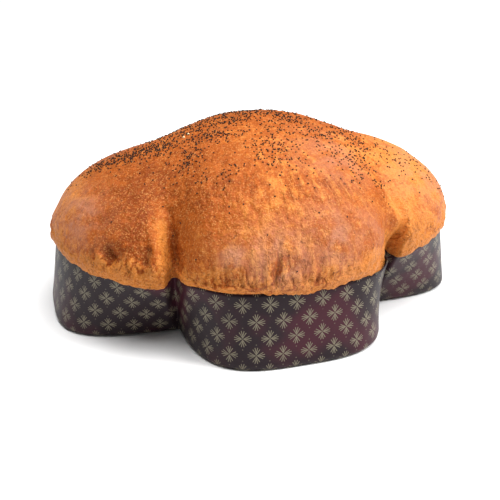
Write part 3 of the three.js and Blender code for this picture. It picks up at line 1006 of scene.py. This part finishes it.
def scatter():
    chance = random.Random(seeds["start"])
    spots = []
    for patch in seeds["patches"]:
        turn = math.radians(patch["turn"])
        for _ in range(patch["count"]):
            along = chance.gauss(0, patch["spread"][0])
            across = chance.gauss(0, patch["spread"][1])
            x = patch["at"][0] + along * math.cos(turn) - across * math.sin(turn)
            y = patch["at"][1] + along * math.sin(turn) + across * math.cos(turn)
            spots.append((x, y))
    return spots + seeds["single"]


def makeSeeds(name, spots, material, scale=1):
    chance = random.Random(seeds["start"] + len(spots))
    ground = BVHTree.FromObject(loafSurface, bpy.context.evaluated_depsgraph_get())
    bm = bmesh.new()
    aroundSeed, upSeed = seeds["segments"]
    bmesh.ops.create_uvsphere(bm, u_segments=aroundSeed, v_segments=upSeed, radius=1)
    single = bpy.data.meshes.new("seed")
    bm.to_mesh(single)
    bm.clear()
    corners = np.array([(*vertex.co, 1) for vertex in single.vertices])
    places = []
    taken = set()
    for x, y in spots:
        cell = (round(x / seeds["apart"]), round(y / seeds["apart"]))
        hit, normal, _, _ = ground.ray_cast(Vector((x * mm, y * mm, 1)), Vector((0, 0, -1)))
        if hit is None or cell in taken or hit.z < seeds["lowest"] * mm:
            continue
        taken.add(cell)
        turn = normal.to_track_quat("Z", "Y").to_matrix().to_4x4()
        spin = Matrix.Rotation(chance.uniform(0, math.tau), 4, "Z")
        size = [extent * mm / 2 * scale * chance.uniform(*seeds["sizes"]) for extent in seeds["size"]]
        shape = Matrix.Diagonal((*size, 1))
        lift = Matrix.Translation(hit + normal * size[2] * (1 - 2 * seeds["sunk"]))
        bm.from_mesh(single)
        places.append(corners @ np.array(lift @ turn @ spin @ shape).T[:, :3])
    made = makeObject(name, bm, material)
    made.data.vertices.foreach_set("co", np.concatenate(places).ravel())
    made.data.update()
    bpy.data.meshes.remove(single)
    shadeSmooth(made)
    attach(made, "root")
    print(name + ":", len(taken), "seeds,", len(made.data.polygons), "faces")


poppyMaterial = makeSeedMaterial("poppySeed", seeds["colour"], seeds["brown"])
paleMaterial = makeSeedMaterial("paleSeed", seeds["paleColour"], seeds["paleColour"])
makeSeeds("poppySeeds", scatter(), poppyMaterial)
makeSeeds("paleSeeds", seeds["pale"], paleMaterial, seeds["paleScale"])

studio = {  # in metres
    "floorSize": 6,
    "floorColour": (0.96, 0.96, 0.96, 1),
    "floorDrop": 0.0003,        # below the case, so that the two don't flicker
    "floorGlow": {"limits": (0.5, 1.0), "strength": 0.35},  # the far floor glows, to stay white
    "roughness": 0.9,
    "gloss": 0.5,
    "airStrength": 0.16,
    "lights": [
        {"name": "top", "at": (0.0, -0.05, 1.1), "size": 1.1, "power": 19.5},
        {"name": "key", "at": (0.75, -0.4, 0.8), "size": 0.5, "power": 12},
    ],
    "lens": 71.18,              # millimetres, like the sensor
    "sensorWidth": 36,
    "camera": (-0.13544, -0.54322, 0.28457),
    "looks": (0.21933, 0.87967, -0.42199),
}


def makeStudio():
    bm = bmesh.new()
    bmesh.ops.create_grid(bm, x_segments=1, y_segments=1, size=studio["floorSize"] / 2)
    bmesh.ops.translate(bm, verts=bm.verts, vec=(0, 0, -studio["floorDrop"]))
    material, tree, shader = newMaterial("floor", studio)
    shader.inputs["Base Color"].default_value = studio["floorColour"]
    shader.inputs["Emission Color"].default_value = studio["floorColour"]
    away = vectorNode(tree, "DISTANCE", objectPlace(tree), (0, 0, 0), "Value")
    glow = ramp(tree, away, *studio["floorGlow"]["limits"])
    glow = times(tree, glow, studio["floorGlow"]["strength"])
    tree.links.new(glow, shader.inputs["Emission Strength"])
    floor = makeObject("floor", bm, material)

    world = bpy.data.worlds.new("air")
    world.use_nodes = True
    air = world.node_tree.nodes["Background"]
    air.inputs[0].default_value = (1, 1, 1, 1)
    air.inputs[1].default_value = studio["airStrength"]
    bpy.context.scene.world = world

    for lamp in studio["lights"]:
        data = bpy.data.lights.new(lamp["name"], "AREA")
        data.shape = "DISK"
        data.size = lamp["size"]
        data.energy = lamp["power"]
        made = bpy.data.objects.new(lamp["name"], data)
        made.location = lamp["at"]
        made.rotation_euler = (-Vector(lamp["at"])).to_track_quat("-Z", "Y").to_euler()
        bpy.context.scene.collection.objects.link(made)

    data = bpy.data.cameras.new("view")
    data.lens = studio["lens"]
    data.sensor_width = studio["sensorWidth"]
    camera = bpy.data.objects.new("view", data)
    camera.location = studio["camera"]
    camera.rotation_euler = Vector(studio["looks"]).to_track_quat("-Z", "Y").to_euler()
    bpy.context.scene.collection.objects.link(camera)
    bpy.context.scene.camera = camera
    bpy.context.scene.view_settings.view_transform = "Standard"
    print("studio: done")


makeStudio()
